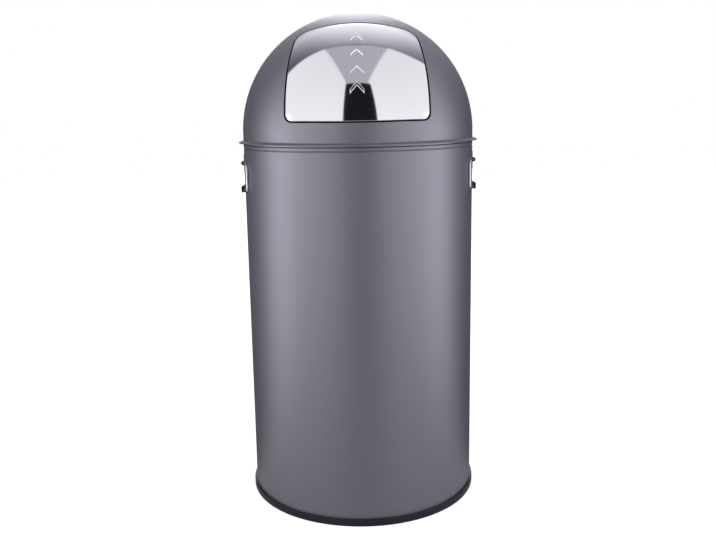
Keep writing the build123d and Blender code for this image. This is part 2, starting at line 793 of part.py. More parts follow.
both_sides(make_bucket_ear, "bucket_ear")
save(make_bucket_rivets(), "bucket_ear_rivets")
save(make_bail(), "bucket_bail")
save(make_bail_grip(), "bail_grip")
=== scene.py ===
import json
import math

import bmesh
import bpy
from mathutils import Matrix, Vector
from mathutils.geometry import intersect_sphere_sphere_2d


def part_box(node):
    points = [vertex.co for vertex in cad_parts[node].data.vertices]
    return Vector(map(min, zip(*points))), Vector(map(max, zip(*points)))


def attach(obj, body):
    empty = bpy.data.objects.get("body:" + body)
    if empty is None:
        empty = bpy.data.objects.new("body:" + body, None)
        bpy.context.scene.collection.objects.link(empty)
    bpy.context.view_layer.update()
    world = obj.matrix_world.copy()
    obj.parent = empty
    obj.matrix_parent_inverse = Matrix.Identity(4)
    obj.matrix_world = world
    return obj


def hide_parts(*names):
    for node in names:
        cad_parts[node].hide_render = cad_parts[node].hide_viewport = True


# Round dome-top push bin. Lengths are in metres and angles in radians. The sizes of the body, the
# dome and the foot ring come from the frame.
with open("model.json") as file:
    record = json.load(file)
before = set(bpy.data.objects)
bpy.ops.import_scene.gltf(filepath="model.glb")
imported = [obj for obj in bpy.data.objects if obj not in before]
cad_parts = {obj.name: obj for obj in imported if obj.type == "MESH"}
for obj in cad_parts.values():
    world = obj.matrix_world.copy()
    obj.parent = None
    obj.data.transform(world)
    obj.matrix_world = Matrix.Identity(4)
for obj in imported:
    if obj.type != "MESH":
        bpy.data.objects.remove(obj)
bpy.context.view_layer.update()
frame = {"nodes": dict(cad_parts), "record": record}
nodes = frame["nodes"]

MM = 0.001
DEG = math.pi / 180

# Camera, level with the lid and looking a little down at the middle of the bin
IMAGE_WIDTH_PX = 716
FOCAL_LENGTH_PX = 839.35
SENSOR_WIDTH = 36
CAMERA_PLACE = Vector((0, -1309.3, 605.4)) * MM
CAMERA_PITCH = -11.147 * DEG
CAMERA_ROLL = -0.961 * DEG
CAMERA_YAW = 0.140 * DEG
CAMERA_CLIP = 50 * MM

# Sheet, gaps and hems, as the solids have them
SHEET = 0.8 * MM
HEM_ROUND = SHEET
FLAP_GAP = 1.8 * MM
FLAP_HEM_WIDTH = 4.0 * MM
OPENING_HEM_WIDTH = 3.0 * MM

# The flap's outline, seen along the direction in which it is pressed
OUTLINE_TOP = 80.0 * MM
OUTLINE_BOTTOM = 82.1 * MM
OUTLINE_HALF_WIDTH = 99.8 * MM
OUTLINE_WIDEST = -60.0 * MM
OUTLINE_SIDE_RADIUS = 640.0 * MM
OUTLINE_BOTTOM_RADIUS = 283.0 * MM
OUTLINE_TOP_CORNER = 21.0 * MM
OUTLINE_BOTTOM_CORNER = 14.5 * MM
FLAP_TILT = 33.882 * DEG

# Raised marks down the middle of the flap
MARK_COUNT = 4
MARK_BELOW_TOP = 34.4 * MM
MARK_PITCH = 28.0 * MM
MARK_HALF_WIDTH = 9.5 * MM
MARK_RISE = 11.0 * MM
MARK_STROKE = 6.0 * MM
MARK_RELIEF = 0.7 * MM
MARK_SLOPE = 0.75 * MM
MARK_CUTS = (0, 0.25, 0.5, 0.75, 1)
MARK_TIPS = [
    OUTLINE_TOP - MARK_BELOW_TOP - MARK_PITCH * i + (MARK_RISE + MARK_STROKE) / 2
    for i in range(MARK_COUNT)
]

# How finely round stretches are drawn
TURN_STEPS = 288
CORNER_STEPS = 5

# A point this close to a surface or an edge counts as on it
ON_IT = 0.01 * MM

# Places read from the frame
body_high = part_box("body_shell")[1]
dome_low, dome_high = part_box("dome_shell")
ring_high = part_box("base_ring")[1]
BODY_RADIUS = body_high.x
RIM_TOP = body_high.z
DOME_RADIUS = BODY_RADIUS
DOME_Z = dome_high.z - DOME_RADIUS
FLANGE_RADIUS = dome_high.x
FLANGE_LOW = dome_low.z
RING_RADIUS = ring_high.x
RING_TOP = ring_high.z


def make_camera():
    data = bpy.data.cameras.new("camera")
    data.sensor_width = SENSOR_WIDTH
    data.lens = SENSOR_WIDTH * FOCAL_LENGTH_PX / IMAGE_WIDTH_PX
    data.clip_start = CAMERA_CLIP
    camera = bpy.data.objects.new("camera", data)
    turn = Matrix.Rotation(CAMERA_YAW, 4, "Z")
    turn = turn @ Matrix.Rotation(math.pi / 2 + CAMERA_PITCH, 4, "X")
    turn = turn @ Matrix.Rotation(CAMERA_ROLL, 4, "Z")
    camera.matrix_world = Matrix.Translation(CAMERA_PLACE) @ turn
    bpy.context.scene.collection.objects.link(camera)
    bpy.context.scene.camera = camera


make_camera()


# Where most values of a noise pattern lie
PATTERN_LOW = 0.3
PATTERN_HIGH = 0.7


class Finish:
    """A material, with short calls for the node patterns that make up its finish"""

    def __init__(self, name, colour, roughness, metallic=0.0, specular=0.5):
        self.material = bpy.data.materials.new(name)
        self.material.use_nodes = True
        self.tree = self.material.node_tree
        self.shader = self.tree.nodes["Principled BSDF"]
        self.shader.inputs["Base Color"].default_value = (*colour, 1)
        self.shader.inputs["Roughness"].default_value = roughness
        self.shader.inputs["Metallic"].default_value = metallic
        self.shader.inputs["Specular IOR Level"].default_value = specular
        self.place = self.tree.nodes.new("ShaderNodeTexCoord").outputs["Object"]
        self.normal = None

    def link(self, source, node, name):
        self.tree.links.new(source, node.inputs[name])

    def stretched(self, stretch):
        # Object coordinates scaled unevenly, for grain that runs one way
        mapping = self.tree.nodes.new("ShaderNodeMapping")
        mapping.inputs["Scale"].default_value = stretch
        self.link(self.place, mapping, "Vector")
        return mapping.outputs["Vector"]

    def noise(self, scale, detail=3.0, place=None):
        noise = self.tree.nodes.new("ShaderNodeTexNoise")
        noise.inputs["Scale"].default_value = scale
        noise.inputs["Detail"].default_value = detail
        self.link(place or self.place, noise, "Vector")
        return noise.outputs["Fac"]

    def cells(self, scale):
        cells = self.tree.nodes.new("ShaderNodeTexVoronoi")
        cells.inputs["Scale"].default_value = scale
        self.link(self.place, cells, "Vector")
        return cells

    def spread(self, source, low, high):
        # A pattern mapped from its usual range to a wanted one
        spread = self.tree.nodes.new("ShaderNodeMapRange")
        spread.inputs["From Min"].default_value = PATTERN_LOW
        spread.inputs["From Max"].default_value = PATTERN_HIGH
        spread.inputs["To Min"].default_value = low
        spread.inputs["To Max"].default_value = high
        self.link(source, spread, "Value")
        return spread.outputs["Result"]

    def tone(self, source, dark, light):
        # A colour that drifts between two tones
        ramp = self.tree.nodes.new("ShaderNodeValToRGB")
        ramp.color_ramp.elements[0].position = PATTERN_LOW
        ramp.color_ramp.elements[1].position = PATTERN_HIGH
        ramp.color_ramp.elements[0].color = (*dark, 1)
        ramp.color_ramp.elements[1].color = (*light, 1)
        self.link(source, ramp, "Fac")
        self.link(ramp.outputs["Color"], self.shader, "Base Color")

    def rough(self, source, low, high):
        self.link(self.spread(source, low, high), self.shader, "Roughness")

    def bump(self, source, strength, depth):
        bump = self.tree.nodes.new("ShaderNodeBump")
        bump.inputs["Strength"].default_value = strength
        bump.inputs["Distance"].default_value = depth
        self.link(source, bump, "Height")
        if self.normal:
            self.link(self.normal, bump, "Normal")
        self.normal = bump.outputs["Normal"]
        self.link(self.normal, self.shader, "Normal")


def tones(colour, change):
    """A colour made darker and lighter by a share"""
    dark = [channel * (1 - change) for channel in colour]
    light = [channel * (1 + change) for channel in colour]
    return dark, light


def make_body_paint():
    grey = (0.330, 0.317, 0.378)
    paint = Finish("body_paint", grey, roughness=0.48, metallic=0.86)
    paint.tone(paint.noise(9.0), *tones(grey, change=0.02))
    paint.rough(paint.noise(700.0), low=0.46, high=0.50)
    paint.bump(paint.noise(1400.0, detail=2.0), strength=0.12, depth=0.05 * MM)
    return paint.material


def make_polished_steel():
    bright = (0.955, 0.945, 0.995)
    steel = Finish("polished_steel", bright, roughness=0.06, metallic=1.0)
    steel.tone(steel.noise(14.0), *tones(bright, change=0.01))
    lines = steel.noise(60.0, detail=4.0, place=steel.stretched((1.0, 14.0, 14.0)))
    steel.rough(lines, low=0.045, high=0.075)
    return steel.material


def make_chrome():
    bright = (0.90, 0.90, 0.91)
    chrome = Finish("chrome_wire", bright, roughness=0.08, metallic=1.0)
    chrome.rough(chrome.noise(400.0), low=0.06, high=0.12)
    chrome.tone(chrome.noise(80.0), *tones(bright, change=0.02))
    return chrome.material


def make_black_plastic():
    black = (0.021, 0.018, 0.038)
    plastic = Finish("black_plastic", black, roughness=0.38, specular=0.4)
    plastic.tone(plastic.noise(30.0), *tones(black, change=0.1))
    plastic.rough(plastic.noise(500.0), low=0.34, high=0.46)
    plastic.bump(plastic.noise(1800.0, detail=2.0), strength=0.15, depth=0.05 * MM)
    return plastic.material


def make_grip_plastic():
    black = (0.010, 0.010, 0.011)
    plastic = Finish("grip_plastic", black, roughness=0.30)
    plastic.tone(plastic.noise(60.0), *tones(black, change=0.1))
    plastic.rough(plastic.noise(600.0), low=0.26, high=0.36)
    return plastic.material


def make_galvanised():
    zinc = (0.50, 0.51, 0.52)
    sheet = Finish("galvanised_sheet", zinc, roughness=0.45, metallic=0.9)
    spangle = sheet.cells(110.0)
    sheet.tone(spangle.outputs["Color"], *tones(zinc, change=0.08))
    sheet.rough(spangle.outputs["Color"], low=0.36, high=0.52)
    sheet.bump(sheet.noise(260.0), strength=0.1, depth=0.04 * MM)
    return sheet.material


def make_zinc_plate():
    zinc = (0.55, 0.55, 0.54)
    plate = Finish("zinc_plate", zinc, roughness=0.34, metallic=1.0)
    plate.tone(plate.noise(90.0), *tones(zinc, change=0.06))
    plate.rough(plate.noise(320.0), low=0.28, high=0.42)
    return plate.material


def make_spring_steel():
    dark = (0.30, 0.30, 0.31)
    wire = Finish("spring_steel", dark, roughness=0.35, metallic=1.0)
    wire.tone(wire.noise(220.0), *tones(dark, change=0.1))
    wire.rough(wire.noise(500.0), low=0.28, high=0.42)
    return wire.material


# Black for the stop tabs behind the flap's gap. The black is painted shade: it keeps the tabs seen
# through the gap as dark as the gap's shade.
def make_gap_shade_steel():
    black = (0.010, 0.010, 0.011)
    strip = Finish("black_steel", black, roughness=0.5, specular=0.3)
    strip.tone(strip.noise(150.0), *tones(black, change=0.15))
    strip.rough(strip.noise(500.0), low=0.44, high=0.58)
    return strip.material


def make_nylon():
    cream = (0.66, 0.62, 0.53)
    nylon = Finish("nylon", cream, roughness=0.35)
    nylon.tone(nylon.noise(120.0), *tones(cream, change=0.04))
    nylon.rough(nylon.noise(500.0), low=0.30, high=0.42)
    return nylon.material


def make_rubber():
    black = (0.014, 0.014, 0.014)
    rubber = Finish("bumper_rubber", black, roughness=0.75)
    rubber.tone(rubber.noise(150.0), *tones(black, change=0.12))
    rubber.rough(rubber.noise(700.0), low=0.68, high=0.84)
    return rubber.material


finishes = {
    "body_paint": make_body_paint(),
    "flap_steel": make_polished_steel(),
    "chrome_wire": make_chrome(),
    "black_plastic": make_black_plastic(),
    "grip_plastic": make_grip_plastic(),
    "galvanised": make_galvanised(),
    "zinc_plate": make_zinc_plate(),
    "black_steel": make_gap_shade_steel(),
    "spring_steel": make_spring_steel(),
    "nylon": make_nylon(),
    "bumper_rubber": make_rubber(),
}


def dress_solids():
    """Each solid that stays in view takes the finish of its slot"""
    for part in frame["record"]["subparts"]:
        solid = nodes[part["node"]]
        solid.data.materials.clear()
        solid.data.materials.append(finishes[part["material_slot"]])


dress_solids()


def add_piece(name, bm, body, slot, *replaced, facing=None):
    """A finished mesh as a smooth piece that rides on a body and stands for solids"""
    bmesh.ops.recalc_face_normals(bm, faces=bm.faces[:])
    for face in bm.faces:
        face.smooth = True
    mesh = bpy.data.meshes.new(name)
    bm.to_mesh(mesh)
    bm.free()
    piece = bpy.data.objects.new(name, mesh)
    bpy.context.scene.collection.objects.link(piece)
    mesh.materials.append(finishes[slot])
    if facing:
        # Exact directions on the polished and painted skins, so that reflections run true
        mesh.normals_split_custom_set_from_vertices(facing)
    else:
        piece.modifiers.new("face_weights", "WEIGHTED_NORMAL")
    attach(piece, body)
    if replaced:
        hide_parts(*replaced)
    return piece


def arc(centre, radius, start, end, steps):
    """Points along an arc, both ends included"""
    points = []
    for i in range(steps + 1):
        angle = start + (end - start) * i / steps
        x = centre[0] + radius * math.cos(angle)
        y = centre[1] + radius * math.sin(angle)
        points.append(Vector((x, y)))
    return points


def rounded(corners, closed=True):
    """A section from (radius, height, corner radius) corners, with each round drawn as an arc"""
    points = []
    for i, (x, z, corner_radius) in enumerate(corners):
        corner = Vector((x, z))
        if corner_radius == 0 or (not closed and i in (0, len(corners) - 1)):
            points.append(corner)
            continue
        before = (Vector(corners[i - 1][:2]) - corner).normalized()
        after = (Vector(corners[(i + 1) % len(corners)][:2]) - corner).normalized()
        half = before.angle(after) / 2
        centre = corner + (before + after).normalized() * (corner_radius / math.sin(half))
        start = corner + before * (corner_radius / math.tan(half)) - centre
        end = corner + after * (corner_radius / math.tan(half)) - centre
        first = math.atan2(start.y, start.x)
        turn = (math.atan2(end.y, end.x) - first + math.pi) % (2 * math.pi) - math.pi
        points += arc(centre, corner_radius, first, first + turn, CORNER_STEPS)
    return points


def turned(section):
    """A closed section of (radius, height) points spun once about the bin's axis"""
    bm = bmesh.new()
    verts = [bm.verts.new((point[0], 0, point[1])) for point in section]
    edges = [bm.edges.new((verts[i - 1], verts[i])) for i in range(len(verts))]
    bmesh.ops.spin(
        bm,
        geom=verts + edges,
        cent=(0, 0, 0),
        axis=(0, 0, 1),
        dvec=(0, 0, 0),
        angle=2 * math.pi,
        steps=TURN_STEPS,
        use_merge=True,
    )
    return bm


def cut(bm, faces, planes):
    """Cuts some faces along each plane, a place and a direction, and leaves both sides"""
    geometry = set(faces)
    for face in faces:
        geometry.update(face.edges)
        geometry.update(face.verts)
    geometry = list(geometry)
    for place, direction in planes:
        halves = bmesh.ops.bisect_plane(bm, geom=geometry, plane_co=place, plane_no=direction)
        geometry = halves["geom"]


# Body wall, with a rolled groove, a curled mouth and a lock seam down the back
GROOVE_BELOW_RIM = 6.0 * MM
GROOVE_DEPTH = 1.1 * MM
GROOVE_HALF_WIDTH = 1.1 * MM
GROOVE_ROUND = 0.5 * MM
CURL_RADIUS = 2.2 * MM
CURL_STEPS = 18
WALL_LOW = 3.0 * MM
SEAM_LINE = (3.7 * MM, 4.5 * MM)
SEAM_LINE_DEPTH = 0.3 * MM
SEAM_HALF_WIDTH = 4.5 * MM
SEAM_THICKNESS = 1.3 * MM
SEAM_EDGE = 0.2 * MM
SEAM_INSIDE_LOW = 13.8 * MM
SEAM_BELOW_GROOVE = 2.9 * MM
SEAM_TOP = RIM_TOP - GROOVE_BELOW_RIM - SEAM_BELOW_GROOVE

# How far off the wall, and how far beside the strip, a face may lie to be cut for the seam
WALL_REACH = 0.3 * MM
SEAM_REACH = 8 * MM


def press_strip(bm, radius, x_low, x_high, z_low, z_high, depth):
    """Presses an upright strip of the wall's back inwards by a depth, with narrow sloping edges"""
    near = []
    for face in bm.faces:
        middle = face.calc_center_median()
        off = abs(math.hypot(middle.x, middle.y) - radius)
        beside = x_low - SEAM_REACH < middle.x < x_high + SEAM_REACH
        if middle.y > 0 and off < WALL_REACH and beside:
            near.append(face)
    across = (x_low, x_low + SEAM_EDGE, x_high - SEAM_EDGE, x_high)
    heights = (z_low, z_low + SEAM_EDGE, z_high - SEAM_EDGE, z_high)
    upright = [((x, 0, 0), (1, 0, 0)) for x in across]
    level = [((0, 0, z), (0, 0, 1)) for z in heights]
    cut(bm, near, upright + level)
    for vert in bm.verts:
        x, y, z = vert.co
        off = abs(math.hypot(x, y) - radius)
        if y < 0 or off > WALL_REACH or not x_low - ON_IT < x < x_high + ON_IT:
            continue
        inside = x_low + ON_IT < x < x_high - ON_IT and z_low + ON_IT < z < z_high - ON_IT
        wanted = radius - depth if inside else radius
        vert.co.y = math.sqrt(wanted * wanted - x * x)


def make_body_wall():
    inner = BODY_RADIUS - SHEET
    groove = RIM_TOP - GROOVE_BELOW_RIM
    curl = (BODY_RADIUS - CURL_RADIUS, RIM_TOP - CURL_RADIUS)
    meets = math.acos((inner - curl[0]) / CURL_RADIUS)
    outside = rounded(
        [
            (BODY_RADIUS, WALL_LOW, 0),
            (BODY_RADIUS, groove - GROOVE_HALF_WIDTH, GROOVE_ROUND),
            (BODY_RADIUS - GROOVE_DEPTH, groove, GROOVE_ROUND),
            (BODY_RADIUS, groove + GROOVE_HALF_WIDTH, GROOVE_ROUND),
            (BODY_RADIUS, curl[1], 0),
        ],
        closed=False,
    )
    rolled = arc(curl, CURL_RADIUS, 0, 2 * math.pi - meets, CURL_STEPS)
    ridge = GROOVE_HALF_WIDTH + SHEET
    inside = rounded(
        [
            (inner, groove + ridge, 0),
            (inner - GROOVE_DEPTH, groove, GROOVE_ROUND),
            (inner, groove - ridge, 0),
            (inner, WALL_LOW, 0),
        ],
        closed=False,
    )
    bm = turned(outside[:-1] + rolled + inside)
    press_strip(bm, BODY_RADIUS, *SEAM_LINE, WALL_LOW, SEAM_TOP, SEAM_LINE_DEPTH)
    seam = (-SEAM_HALF_WIDTH, SEAM_HALF_WIDTH)
    press_strip(bm, inner, *seam, SEAM_INSIDE_LOW, SEAM_TOP, SEAM_THICKNESS)
    add_piece("body_wall", bm, "bin_body", "body_paint", "body_shell")


make_body_wall()

# Foot ring, black and moulded, with a lip under the wall
RING_LIP = 7.0 * MM
RING_LIP_THICKNESS = 2.9 * MM
RING_CLEARANCE = 0.1 * MM
RING_ROUND = 1.2 * MM
RING_MOUTH_ROUND = 0.3 * MM
LIP_ROUND = 0.4 * MM
LIP_CORNER = 0.1 * MM


def make_foot_ring():
    lip = BODY_RADIUS - RING_LIP
    inner = BODY_RADIUS + RING_CLEARANCE
    section = rounded(
        [
            (lip, 0, LIP_ROUND),
            (RING_RADIUS, 0, RING_ROUND),
            (RING_RADIUS, RING_TOP, RING_ROUND),
            (inner, RING_TOP, RING_MOUTH_ROUND),
            (inner, RING_LIP_THICKNESS, LIP_CORNER),
            (lip, RING_LIP_THICKNESS, LIP_ROUND),
        ]
    )
    add_piece("foot_ring", turned(section), "bin_body", "black_plastic", "base_ring")


make_foot_ring()

# The plane that the flap is pressed square to, through the dome's centre
DOME_CENTRE = Vector((0, 0, DOME_Z))
ACROSS = Vector((1, 0, 0))
UPWARDS = Vector((0, math.sin(FLAP_TILT), math.cos(FLAP_TILT)))
PRESSED = Vector((0, -math.cos(FLAP_TILT), math.sin(FLAP_TILT)))

# Steps along half of the outline: top edge, corner, side, corner and bottom edge
OUTLINE_STEPS = (24, 12, 48, 12, 40)


def outline(margin):
    """Points along the flap's outline, grown by a margin, clockwise from its top middle"""
    side = Vector((OUTLINE_HALF_WIDTH - OUTLINE_SIDE_RADIUS, OUTLINE_WIDEST))
    base = Vector((0, OUTLINE_BOTTOM_RADIUS - OUTLINE_BOTTOM))
    top_height = OUTLINE_TOP - OUTLINE_TOP_CORNER
    top_reach = OUTLINE_SIDE_RADIUS - OUTLINE_TOP_CORNER
    top = Vector((side.x + math.sqrt(top_reach ** 2 - (top_height - side.y) ** 2), top_height))
    low_reach = OUTLINE_SIDE_RADIUS - OUTLINE_BOTTOM_CORNER
    base_reach = OUTLINE_BOTTOM_RADIUS - OUTLINE_BOTTOM_CORNER
    meetings = intersect_sphere_sphere_2d(side, low_reach, base, base_reach)
    low = max(meetings, key=lambda point: point.x)
    to_top = math.atan2(top.y - side.y, top.x - side.x)
    to_low = math.atan2(low.y - side.y, low.x - side.x)
    from_base = math.atan2(low.y - base.y, low.x - base.x)
    top_steps, corner_steps, side_steps, low_steps, base_steps = OUTLINE_STEPS
    edge = OUTLINE_TOP + margin
    half = [Vector((top.x * i / top_steps, edge)) for i in range(top_steps + 1)]
    half += arc(top, OUTLINE_TOP_CORNER + margin, math.pi / 2, to_top, corner_steps)[1:]
    half += arc(side, OUTLINE_SIDE_RADIUS + margin, to_top, to_low, side_steps)[1:]
    half += arc(low, OUTLINE_BOTTOM_CORNER + margin, to_low, from_base, low_steps)[1:]
    half += arc(base, OUTLINE_BOTTOM_RADIUS + margin, from_base, -math.pi / 2, base_steps)[1:]
    return half + [Vector((-point.x, point.y)) for point in reversed(half[1:-1])]


def on_ball(across, upwards, radius):
    """The place on a ball about the dome's centre that lies over a point of the press plane"""
    out = math.sqrt(radius * radius - across * across - upwards * upwards)
    return DOME_CENTRE + ACROSS * across + UPWARDS * upwards + PRESSED * out


def grow(bm, count_layer, edges, places):
    """Extrudes a loop of edges and puts each new vertex at its own place in the list"""
    made = bmesh.ops.extrude_edge_only(bm, edges=edges)["geom"]
    fresh = {item for item in made if isinstance(item, bmesh.types.BMVert)}
    for vert in fresh:
        vert.co = places[vert[count_layer]]
    drawn = [item for item in made if isinstance(item, bmesh.types.BMEdge)]
    return [edge for edge in drawn if fresh.issuperset(edge.verts)]


def skinned(rings):
    """A mesh through loops of equally many points, with its first and last loops of edges"""
    bm = bmesh.new()
    count_layer = bm.verts.layers.int.new("count")
    first = bmesh.ops.create_circle(bm, segments=len(rings[0]), radius=1)["verts"]
    for i, vert in enumerate(first):
        vert[count_layer] = i
        vert.co = rings[0][i]
    start = bm.edges[:]
    edges = start
    for places in rings[1:]:
        edges = grow(bm, count_layer, edges, places)
    return bm, start, edges


# Dome, from the hem round its opening over the ball to the flange, and back inside
FLANGE_DROP = 10.4 * MM
FLANGE_ROOT_Z = DOME_Z - FLANGE_DROP
FLANGE_ROOT_ROUND = 1.6 * MM
FLANGE_HEM = 0.85 * MM
FLANGE_TIP_STEPS = 10
FLANGE_RETURN = 0.2 * MM
FLANGE_EDGE_ROUND = 0.3 * MM
FLANGE_FOLD_ROUND = 0.2 * MM
DOME_RINGS = 56
DOME_INNER_RINGS = 40
HEM_STEPS = 8

# A hem's cut edge leans a little, and its face keeps a narrow band beside it
HEM_LEAN = 0.1 * MM
HEM_BAND = 0.3 * MM

# Where the rings over the ball begin, counted in hem rounds from the opening's edge
CLOSE_RING = 3
FIRST_BALL_RING = 6


def flange_section():
    """A section from the dome's widest circle down, round the flange and back up inside"""
    hem = (FLANGE_RADIUS - FLANGE_HEM, FLANGE_LOW + FLANGE_HEM)
    slope = math.atan2(FLANGE_ROOT_Z - hem[1] - FLANGE_HEM, hem[0] - BODY_RADIUS)
    tip = arc(hem, FLANGE_HEM, math.pi / 2 - slope, -math.pi / 2, FLANGE_TIP_STEPS)
    outer = rounded(
        [
            (BODY_RADIUS, DOME_Z, 0),
            (BODY_RADIUS, FLANGE_ROOT_Z, FLANGE_ROOT_ROUND),
            (tip[0].x, tip[0].y, 0),
        ],
        closed=False,
    )
    back = BODY_RADIUS - FLANGE_RETURN
    inner = BODY_RADIUS - SHEET
    underside = rounded(
        [
            (tip[-1].x, tip[-1].y, 0),
            (back, FLANGE_LOW, FLANGE_EDGE_ROUND),
            (back, FLANGE_LOW + SHEET, FLANGE_FOLD_ROUND),
            (inner, FLANGE_ROOT_Z - SHEET, FLANGE_FOLD_ROUND),
            (inner, DOME_Z, 0),
        ],
        closed=False,
    )
    return outer[1:-1] + tip + underside[1:-1]


def dome_ball_rings(radius, margin, count):
    """Loops over the ball, from the outline grown by a margin to the dome's widest circle"""
    rings = [[] for _ in range(count + 1)]
    for point in outline(margin):
        turn = math.atan2(point.x, point.y)
        start = math.asin(point.length / radius)
        end = math.atan2(math.sin(FLAP_TILT), -math.cos(turn) * math.cos(FLAP_TILT))
        for i, ring in enumerate(rings):
            angle = start + (end - start) * i / count
            level = ACROSS * math.sin(turn) + UPWARDS * math.cos(turn)
            out = level * math.sin(angle) + PRESSED * math.cos(angle)
            ring.append(DOME_CENTRE + out * radius)
    return rings


def make_dome():
    edge = FLAP_GAP / 2
    inner = DOME_RADIUS - SHEET
    lowest = DOME_RADIUS - 2 * SHEET
    fold = []
    for i in range(2 * HEM_STEPS + 1):
        angle = math.pi * (i / (2 * HEM_STEPS) - 0.5)
        grown = outline(edge + HEM_ROUND * (1 - math.cos(angle)))
        radius = inner + HEM_ROUND * math.sin(angle)
        fold.append([on_ball(point.x, point.y, radius) for point in grown])
    close = outline(edge + CLOSE_RING * HEM_ROUND)
    near = [on_ball(point.x, point.y, DOME_RADIUS) for point in close]
    outer = dome_ball_rings(DOME_RADIUS, edge + FIRST_BALL_RING * HEM_ROUND, DOME_RINGS)
    flange = []
    for section_point in flange_section():
        ring = []
        for place in outer[-1]:
            level = Vector((place.x, place.y, 0)).normalized()
            ring.append(level * section_point.x + Vector((0, 0, section_point.y)))
        flange.append(ring)
    hem_edge = edge + OPENING_HEM_WIDTH
    inside = dome_ball_rings(inner, hem_edge + SHEET, DOME_INNER_RINGS)
    step = [
        [on_ball(point.x, point.y, inner) for point in outline(hem_edge + HEM_LEAN)],
        [on_ball(point.x, point.y, lowest) for point in outline(hem_edge)],
        [on_ball(point.x, point.y, lowest) for point in outline(hem_edge - HEM_BAND)],
    ]
    rings = fold + [near] + outer + flange + inside[::-1] + step
    bm, first, last = skinned(rings)
    bmesh.ops.bridge_loops(bm, edges=first + last)
    facing = []
    for vert in bm.verts:
        out = vert.co - DOME_CENTRE
        on_skin = abs(out.length - DOME_RADIUS) < ON_IT and out.z > -ON_IT
        facing.append(out.normalized() if on_skin else Vector())
    add_piece("dome", bm, "dome", "body_paint", "dome_shell", facing=facing)


make_dome()

# Flap, built flat over the press plane with its height above the ball as Z, and then laid on
# the ball
FLAP_RINGS = 36
FLAP_INNER_RINGS = 18
FLAP_POLE = Vector((0, 2.0 * MM))

# How far beyond a mark the skin is cut, and how far apart its slope is felt
MARK_REACH = 6 * MM
MARK_PROBE = 0.05 * MM


def shrunk(points, share):
    """A loop of points drawn in towards the flap's middle"""
    return [FLAP_POLE + (point - FLAP_POLE) * share for point in points]


def flat_ring(points, height):
    """A loop of points at a height over the press plane"""
    return [Vector((point.x, point.y, height)) for point in points]


def mark_height(place):
    """How far the marks raise the skin at a flat place"""
    height = 0
    for tip in MARK_TIPS:
        below = tip - MARK_RISE * abs(place.x) / MARK_HALF_WIDTH - place.y
        slant = MARK_HALF_WIDTH / math.hypot(MARK_HALF_WIDTH, MARK_RISE)
        inside = min(below * slant, (MARK_STROKE - below) * slant, MARK_HALF_WIDTH - abs(place.x))
        share = min(max(inside / MARK_SLOPE, 0), 1)
        height = max(height, MARK_RELIEF * share * share * (3 - 2 * share))
    return height


def cut_mark(bm, tip):
    """Cuts the flat skin along a chevron's edges and along its sloping sides"""
    lowest = tip - MARK_RISE - MARK_STROKE - MARK_REACH
    for side in (-1, 1):
        near = []
        for face in bm.faces:
            middle = face.calc_center_median()
            beside = 0 < middle.x * side < MARK_HALF_WIDTH + MARK_REACH
            if abs(middle.z) < ON_IT and beside and lowest < middle.y < tip + MARK_REACH:
                near.append(face)
        slant = Vector((side * MARK_RISE, MARK_HALF_WIDTH, 0)).normalized()
        planes = []
        for share in MARK_CUTS:
            inwards = MARK_SLOPE * share
            planes.append(((side * (MARK_HALF_WIDTH - inwards), 0, 0), (1, 0, 0)))
            planes.append((Vector((0, tip, 0)) - slant * inwards, slant))
            planes.append((Vector((0, tip - MARK_STROKE, 0)) + slant * inwards, slant))
        cut(bm, near, planes)


def marked_place(place):
    """The place on the dome's ball, raised by the marks, that lies over a flat place"""
    return on_ball(place.x, place.y, DOME_RADIUS + mark_height(place))


def marked_direction(place):
    """The direction that the marked skin faces at a flat place"""
    across = Vector((MARK_PROBE, 0, 0))
    upwards = Vector((0, MARK_PROBE, 0))
    run = marked_place(place + across) - marked_place(place - across)
    climb = marked_place(place + upwards) - marked_place(place - upwards)
    return run.cross(climb).normalized()


def make_flap():
    edge = -FLAP_GAP / 2
    rim = outline(edge - HEM_ROUND)
    rings = [flat_ring(shrunk(rim, (i + 0.5) / (FLAP_RINGS + 0.5)), 0) for i in range(FLAP_RINGS)]
    for i in range(2 * HEM_STEPS + 1):
        angle = math.pi * (0.5 - i / (2 * HEM_STEPS))
        grown = outline(edge - HEM_ROUND * (1 - math.cos(angle)))
        rings.append(flat_ring(grown, -HEM_ROUND + HEM_ROUND * math.sin(angle)))
    hem = outline(edge - FLAP_HEM_WIDTH)
    rings.append(flat_ring(outline(edge - FLAP_HEM_WIDTH + HEM_BAND), -2 * SHEET))
    rings.append(flat_ring(hem, -2 * SHEET))
    rings.append(flat_ring(outline(edge - FLAP_HEM_WIDTH - HEM_LEAN), -SHEET))
    for i in reversed(range(FLAP_INNER_RINGS)):
        rings.append(flat_ring(shrunk(hem, (i + 0.5) / (FLAP_INNER_RINGS + 0.5)), -SHEET))
    bm, first, last = skinned(rings)
    for loop, height in ((first, 0), (last, -SHEET)):
        middle = {vert for loop_edge in loop for vert in loop_edge.verts}
        bmesh.ops.pointmerge(bm, verts=list(middle), merge_co=(FLAP_POLE.x, FLAP_POLE.y, height))
    for tip in MARK_TIPS:
        cut_mark(bm, tip)
    facing = []
    for vert in bm.verts:
        place = vert.co.copy()
        if abs(place.z) < ON_IT:
            vert.co = marked_place(place)
            facing.append(marked_direction(place))
        else:
            vert.co = on_ball(place.x, place.y, DOME_RADIUS + place.z)
            facing.append(Vector())
    add_piece("push_flap", bm, "flap", "flap_steel", "flap_panel", facing=facing)


make_flap()


